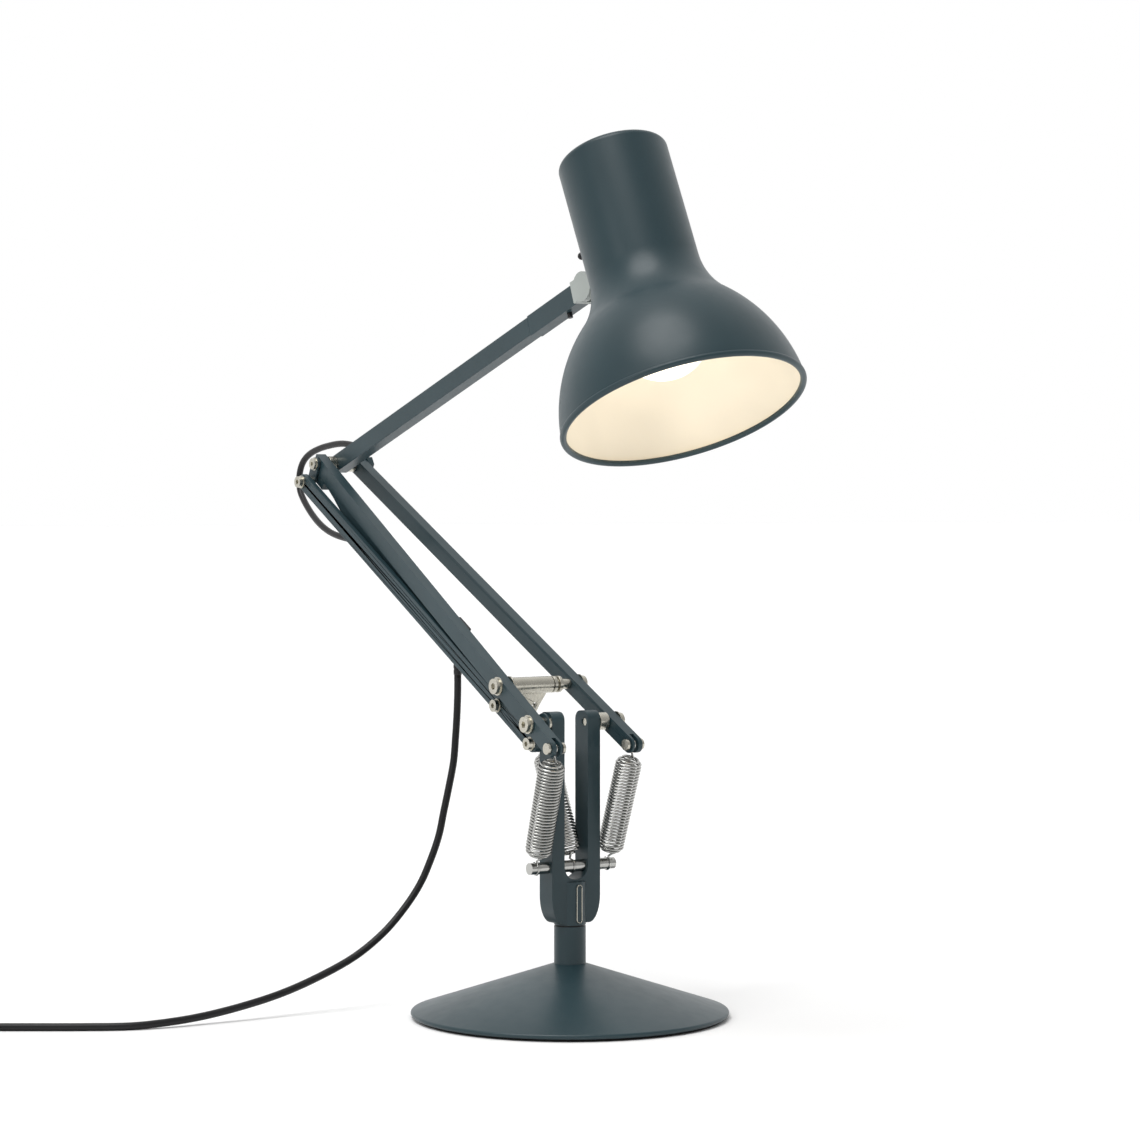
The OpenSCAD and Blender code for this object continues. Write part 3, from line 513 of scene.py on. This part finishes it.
def make_plug():
    """Moulded flat two-pin plug: an oval body, a waisted grip and a ribbed sleeve on the lead."""
    sides = 40
    vertices, faces = [], []
    for x, w, h in PLUG_SECTIONS:
        flat = max(w - h, 0)
        for k in range(sides):
            a = 2 * math.pi * k / sides
            across = math.copysign(flat, math.cos(a)) * min(abs(math.cos(a)) * 4, 1) + h * math.cos(a)
            vertices.append(PLUG_REAR + mm(x, across, h * math.sin(a)))
    last = (len(PLUG_SECTIONS) - 1) * sides
    for start in range(0, last, sides):
        for k in range(sides):
            l = (k + 1) % sides
            faces.append((start + k, start + sides + k, start + sides + l, start + l))
    faces.append(tuple(range(sides)))
    faces.append(tuple(last + k for k in range(sides)))
    body = new_mesh("plug_moulding", vertices, faces, "black_plastic", "fork")
    sharpen(body, 40)
    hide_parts("plug_body")
    pins = []
    for k, y in enumerate((-PIN_Y, PIN_Y)):
        start = PLUG_REAR + mm(PLUG_LENGTH, y, 0)
        pin = lathe(f"plug_pin_{k + 1}", PIN_PROFILE, "nickel", start, (1, 0, 0), "fork", 24)
        pins.append(pin)
        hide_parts("plug_pins")
    return [body, *pins]


# ---- Springs ----

WIRE = 1.1 * MM
COIL_R = 5.85 * MM
COIL_FOOT = 6 * MM
SIDE_COIL_END = 54 * MM
MIDDLE_COIL_END = 56 * MM
# Height of the stretch over which the last turns close in, and their share of the full radius
TAPER = 3.5 * MM
END_SHARE = 0.42
# Radii of the hooks round the anchor bar and round the tail pins
BAR_RING = 2.85 * MM
PIN_RING = 1.85 * MM
# Rise from a hook to the straight wire above it
HOOK_NECK = 0.9 * MM
ANCHOR_BAR = (1.2, 71.2)
HOOK_Y = 20.4
TAIL_PIN = (19.58, 128.56)
TAIL_Y = 22.3


def frame_along(a, b):
    """Rotation whose Z runs from a to b and whose X lies in the lamp's middle plane."""
    z = (b - a).normalized()
    x = WORLD_Y.cross(z).normalized()
    y = z.cross(x)
    return Matrix((x, y, z)).transposed()


def hook(ring, centre, side, degrees):
    """A round hook in the lamp's middle plane. Its opening is above the centre where side is 1."""
    turns = [math.radians(a) for a in degrees]
    return [Vector((ring * math.sin(a), 0, centre + side * ring * math.cos(a))) for a in turns]


def wound_spring(foot, head, coil_end, turns, head_ring):
    """Centreline of an extension spring with close turns, tapered ends and a round hook at each end.
    The hooks go round foot and head; with no head_ring the spring ends at coil_end."""
    each = 20
    length = (head - foot).length
    local = hook(BAR_RING, 0, 1, range(320, 20, -12))
    local.append(Vector((0, 0, BAR_RING + HOOK_NECK)))
    steps = turns * each
    for i in range(steps + 1):
        a = 2 * math.pi * i / each
        z = COIL_FOOT + (coil_end - COIL_FOOT) * i / steps
        near = min(z - COIL_FOOT, coil_end - z)
        r = COIL_R * (END_SHARE + (1 - END_SHARE) * math.sin(min(near / TAPER, 1) * math.pi / 2))
        local.append(Vector((r * math.cos(a), r * math.sin(a), z)))
    if head_ring:
        local.append(Vector((0, 0, length - head_ring - HOOK_NECK)))
        local += hook(head_ring, length, -1, range(20, 320, 12))
    turn = frame_along(foot, head)
    return [foot + turn @ p for p in local]


def make_springs():
    bar_x, bar_z = ANCHOR_BAR
    pin_x, pin_z = TAIL_PIN
    for name, side in (("near", -1), ("far", 1)):
        foot = mm(bar_x, side * HOOK_Y, bar_z)
        head = mm(pin_x, side * TAIL_Y, pin_z)
        path = wound_spring(foot, head, SIDE_COIL_END, 32, PIN_RING)
        spring = tube(f"side_spring_{name}", path, WIRE / 2, "spring_steel", sides=8)
        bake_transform(spring)
        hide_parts(f"spring_{name}")
    foot = mm(bar_x, 0, bar_z)
    top = foot + (EYE - foot).normalized() * MIDDLE_COIL_END
    path = wound_spring(foot, EYE, MIDDLE_COIL_END, 33, None)
    spring = tube("centre_spring", path, WIRE / 2, "spring_steel", sides=8)
    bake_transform(spring)
    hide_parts("spring_middle")
    make_pull_hook(foot, top)


def make_pull_hook(foot, top):
    """Hook from the centre spring's top into the hole of the counter crank."""
    ring_r = 2.5 * MM
    radial = (EYE - CROSS).normalized()
    along = (foot - EYE).normalized()
    centre = EYE + radial * ring_r
    outward = WORLD_Y.cross(radial).normalized()
    if outward.dot(along) > 0:
        outward = -outward
    ring = []
    for a in range(168, -61, -12):
        turn = math.radians(a)
        ring.append(centre - radial * ring_r * math.cos(turn) + outward * ring_r * math.sin(turn))
    path = [top + along * MM, top - along * 2 * MM, *ring]
    wire = tube("crank_hook", path, WIRE / 2, "spring_steel", sides=8)
    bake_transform(wire)
    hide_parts("pull_hook")


# ---- Base ----


def make_base():
    """Pressed cone with a small rounded edge, hollow below."""
    top, under = 25.3, 2.2
    edge = arc(73.85, 2.35, 1.15, range(72, -91, -9))
    profile = [(0, top), (7.4, top), *edge, (73.2, 1.2), (73.2, under), (0, under)]
    cover = lathe("base_shell", profile, "slate_paint", (0, 0, 0), (0, 0, 1), "base", 160)
    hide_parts("base_cover")


# ---- Shade ----

# Heights t run up the shade's axis from its mouth
SHADE_TILT = math.radians(25)
SHADE_UP = Vector((-math.sin(SHADE_TILT), 0, math.cos(SHADE_TILT)))
SHADE_TURN = Matrix.Rotation(-SHADE_TILT, 3, "Y")
PIVOT_BACK, PIVOT_T = 40.1, 84.3
MOUTH = KNUCKLE + SHADE_TURN @ mm(PIVOT_BACK, 0, -PIVOT_T)
MOUTH_R, NECK_R, SHADE_H = 56.6, 25.8, 131
STEM_R = 5
# A convex arc, the bell, runs into a concave one, the fillet, which ends square to the neck
BELL_R, BELL_T = 75.4, -5.3
BELL_X = MOUTH_R - math.sqrt(BELL_R**2 - BELL_T**2)
FILLET_R = 36
FILLET_X = NECK_R + FILLET_R
FILLET_T = BELL_T + math.sqrt((BELL_R + FILLET_R) ** 2 - (FILLET_X - BELL_X) ** 2)
MEET = math.atan2(FILLET_T - BELL_T, FILLET_X - BELL_X)
# Where the painted outside meets the white inside, behind the rolled lip
SEAM = (54.15, 1.4)
BULB_R, BULB_T = 22.5, 40


def shade_side(inset):
    """(radius, height) up the spun sheet from the mouth, set in from its outside."""
    bell, fillet = BELL_R - inset, FILLET_R + inset
    start = math.asin(-BELL_T / bell)
    side = [(BELL_X + bell * math.cos(a), BELL_T + bell * math.sin(a)) for a in np.linspace(start, MEET, 30)]
    for a in np.linspace(MEET, 0, 18)[1:]:
        side.append((FILLET_X - fillet * math.cos(a), FILLET_T - fillet * math.sin(a)))
    return side


def make_shade():
    """The spun sheet in two skins, one painted and one white, and the bulb."""
    end = (STEM_R, SHADE_H)
    lip = arc(MOUTH_R - 1.1, 0.7, 1.5, range(200, 395, 12))
    crown = arc(NECK_R - 3, SHADE_H - 3, 3, range(0, 91, 10))
    outside = [SEAM, *lip, *shade_side(0)[1:], *crown, end]
    shell = lathe("shade_outside", outside, "slate_paint", MOUTH, SHADE_UP, "shade", 192)
    under_crown = [(24.8, 128), (23.6, 129.6), (21.6, 130), (STEM_R, 130)]
    inside = [SEAM, *shade_side(1)[1:], *under_crown, end]
    lining = lathe("shade_inside", inside, "white_inside", MOUTH, SHADE_UP, "shade", 192)
    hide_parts("shade")
    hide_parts("shade")
    shoulder_r = 12.3
    shoulder_t = BULB_T + math.sqrt(BULB_R**2 - shoulder_r**2)
    neck = [(0, 85), (6.4, 85), (6.6, 78), (6.6, 74), (6.8, 70), (8.2, 66), (10.4, 62), (shoulder_r, shoulder_t)]
    globe = [(x, t) for t, x in arc(BULB_T, 0, BULB_R, range(40, 180, 5))]
    bottom = (0, BULB_T - BULB_R)
    glass = lathe("bulb_envelope", [*neck, *globe, bottom], "bulb_glass", MOUTH, SHADE_UP, "shade", 64)
    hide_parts("bulb")
    place = MOUTH + SHADE_TURN @ mm(0, 0, 10)
    warm = (1, 0.88, 0.7)
    down = Vector((0, 0, -1))
    glow = add_light("lamp_glow", "POINT", place, down, energy=0.01, color=warm, shadow_soft_size=0.02)
    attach(glow, "shade")


# ---- Lead round the elbow and strain relief ----

LOOP_ROUTE = [
    (-188, 0, 270.2), (-196, 0, 271.9), (-203.7, 0, 272.8), (-211, 0, 272.9), (-220, 0, 272.2), (-230.5, 0, 270.7),
    (-240, 0, 268.2), (-246.5, 0, 264.8), (-250.3, 0, 260.2), (-251.8, 0, 254.3), (-249.8, -0.5, 248.4),
    (-244.6, -1.5, 243.7), (-236.9, -3, 238.9), (-227.9, -4.5, 234.1), (-218.1, -6, 230), (-208.3, -7, 226.9),
    (-198.9, -7.8, 225), (-190.5, -8, 223.8), (-182.5, -8.2, 222.9), (-174, -8.4, 222.2), (-165.5, -8.6, 221.4),
    (-157, -8.9, 220), (-149.1, -9.3, 217.2), (-141.8, -9.6, 213.7), (-134.9, -9.6, 209.67),
]


LOOP_R = 1.7 * MM


def make_loop():
    loop = tube("elbow_lead", [p * MM for p in catmull(LOOP_ROUTE, 6)], LOOP_R, "cord_pvc", sides=14)
    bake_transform(loop)
    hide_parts("elbow_cable")


def make_relief():
    """Tapered sleeve on the lead, ribbed up to its plain collar."""
    low_r, growth, height = 1.97, 0.73, 22
    lead_r, pitch = 1.8, 2.4
    profile = [(0, 0), (lead_r, 0), (1.95, 0.2)]
    for z in np.arange(1, height - 1, pitch):
        r = low_r + growth * z / height
        profile += [(r, z), (r + 0.05, z + 1.5), (r - 0.16, z + 1.7), (r - 0.14, z + 2.2)]
    profile += [(2.65, height - 0.2), (2.5, height), (lead_r, height), (lead_r, height + 3), (0, height + 3)]
    base = Vector(CORD_ROUTE[0]) * MM
    relief = lathe("relief_sleeve", profile, "black_plastic", base, (0, 0, 1), "lower_arm", 32)
    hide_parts("strain_relief")


def pill(half):
    """(y, z) outline of the upright pill on the fork's barrel, closed by a half circle at each end."""
    low, high = 46.3, 61.3
    turns = [math.radians(a) for a in range(0, 181, 15)]
    top = [(half * math.cos(a), high + half * math.sin(a)) for a in turns]
    return top + [(-half * math.cos(a), low - half * math.sin(a)) for a in turns]


def wrap(y, z, radius):
    """A point of the barrel's surface, or of one parallel to it."""
    return mm(math.sqrt(radius * radius - y * y), y, z)


def make_badge():
    """Raised outline round the plain pill on the fork."""
    outline = pill(1.4)
    path = [wrap(y, z, 8.0) for y, z in outline + outline[:2]]
    rim = tube("badge_rim", path, 0.22 * MM, "nickel", "fork", 8)
    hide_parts("fork_badge")
    inner = pill(1.2)
    vertices = [wrap(y, z, r) for r in (7.4, 7.9) for y, z in inner]
    field = new_mesh("badge_field", vertices, prism_faces(len(inner)), "slate_paint", "fork", is_smooth=False)
    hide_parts("fork_badge")


# ---- Near plate of the lower arm with its channel ----

# s runs along the arm from the fork pivot, q down across it
ARM_RISE = math.radians(30.3)
ARM_TURN = Matrix.Rotation(math.pi + ARM_RISE, 3, "Y")
LOWER_LEN = 244.8
ARM_END = LOWER_LEN + 4
ARM_T = 5.6
ARM_TOP, ARM_BOTTOM = -3.6, 4.2
CHANNEL_DOWN = 9
CHANNEL_SIDE = 17.1
# Where the plate, which leans in towards the elbow, comes level with the channel's side
LEVEL_S = 168.4


def arm_in(s):
    """Inner face of the plate, measured from the lamp's middle."""
    return 19 - 10.9 * s / LOWER_LEN


def arm_out(s):
    return arm_in(s) + ARM_T


def arm_prism(name, outline, inner, outer):
    """A solid drawn as (s, q) points, between two faces whose distance from the lamp's middle depends on s."""
    vertices = [P0 + ARM_TURN @ mm(s, -face(s), q) for face in (inner, outer) for s, q in outline]
    return new_mesh(name, vertices, prism_faces(len(outline)), "slate_paint", is_smooth=False)


def join(target, tool, operation):
    """Adds the tool to the target or cuts it out, and removes the tool."""
    change = target.modifiers.new(operation, "BOOLEAN")
    change.operation = operation
    change.solver = "EXACT"
    change.object = tool
    bpy.context.view_layer.objects.active = target
    bpy.ops.object.modifier_apply(modifier=change.name)
    used = tool.data
    bpy.data.objects.remove(tool)
    bpy.data.meshes.remove(used)


def make_near_arm():
    """One piece: the plate, and under it the channel with its window near the elbow."""
    tail = arc(-19.9, 0.3, 3.9, range(90, 271, 10))
    plate = arm_prism("lower_arm_near", [*tail, (ARM_END, ARM_TOP), (ARM_END, ARM_BOTTOM)], arm_in, arm_out)
    channel = [
        (68, 2), (68, 7), (70, CHANNEL_DOWN), (LEVEL_S, CHANNEL_DOWN), (ARM_END - 1.2, CHANNEL_DOWN),
        (ARM_END, CHANNEL_DOWN - 1), (ARM_END, 2), (LEVEL_S, 2),
    ]
    join(plate, arm_prism("channel", channel, arm_in, lambda s: min(arm_out(s), CHANNEL_SIDE)), "UNION")
    window = [(209, 10), (210.4, 8.4), (220, 6.5), (228, 5.4), (232.6, 4.9), (233.5, 5.3), (233.5, 10)]
    join(plate, arm_prism("window", window, lambda s: -5, lambda s: 30), "DIFFERENCE")
    slot = [(-28, -6), (-16.8, -6), (-16.8, 6), (-28, 6)]
    join(plate, arm_prism("slot", slot, lambda s: TAIL_Y - 1.1, lambda s: TAIL_Y + 1.1), "DIFFERENCE")
    smooth(plate)
    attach(plate, "lower_arm")
    bevel(plate, 0.45 * MM, 3)
    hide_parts("near_arm", "cable_cover")


# ---- CAD pieces shown as they are ----

SOFT_EDGES = {
    "post": 0.25, "fork": 0.5, "far_arm": 0.45, "counter_crank": 0.15, "guide_crank": 0.15, "tie_bar": 0.35,
    "near_arm": 0.45, "cable_cover": 0.3, "elbow_lever": 0.15, "upper_arm": 0.5, "arm_end": 0.4,
    "shade_cap": 0.4, "knuckle_fork": 0.45, "shade_bracket": 0.4, "tube_collars": 0.25, "lamp_holder": 0.5,
    "cable_clip": 0.4, "lead_gland": 0.4, "cord_tie": 0.2, "switch_body": 0.3, "anchor_bar": 0.3, "base_pad": 0.3,
}
SMALL_EDGE = 0.12
WELD_WITHIN = 2e-6


def dress_cad():
    """Gives each CAD piece its material and softens its edges."""
    slots = {p["node"]: p["material_slot"] for p in frame["record"]["subparts"]}
    for name, node in nodes.items():
        node.data.materials.clear()
        node.data.materials.append(MATERIALS[slots[name]])
        normals = node.data.attributes.get("custom_normal")
        if normals:
            node.data.attributes.remove(normals)
        smooth(node)
        weld = node.modifiers.new("weld", "WELD")
        weld.merge_threshold = WELD_WITHIN
        bevel(node, SOFT_EDGES.get(name, SMALL_EDGE) * MM)


MATERIALS = make_materials()
make_camera()
make_stage()
make_cord()
make_springs()
make_base()
make_shade()
make_loop()
make_relief()
make_badge()
make_near_arm()
dress_cad()
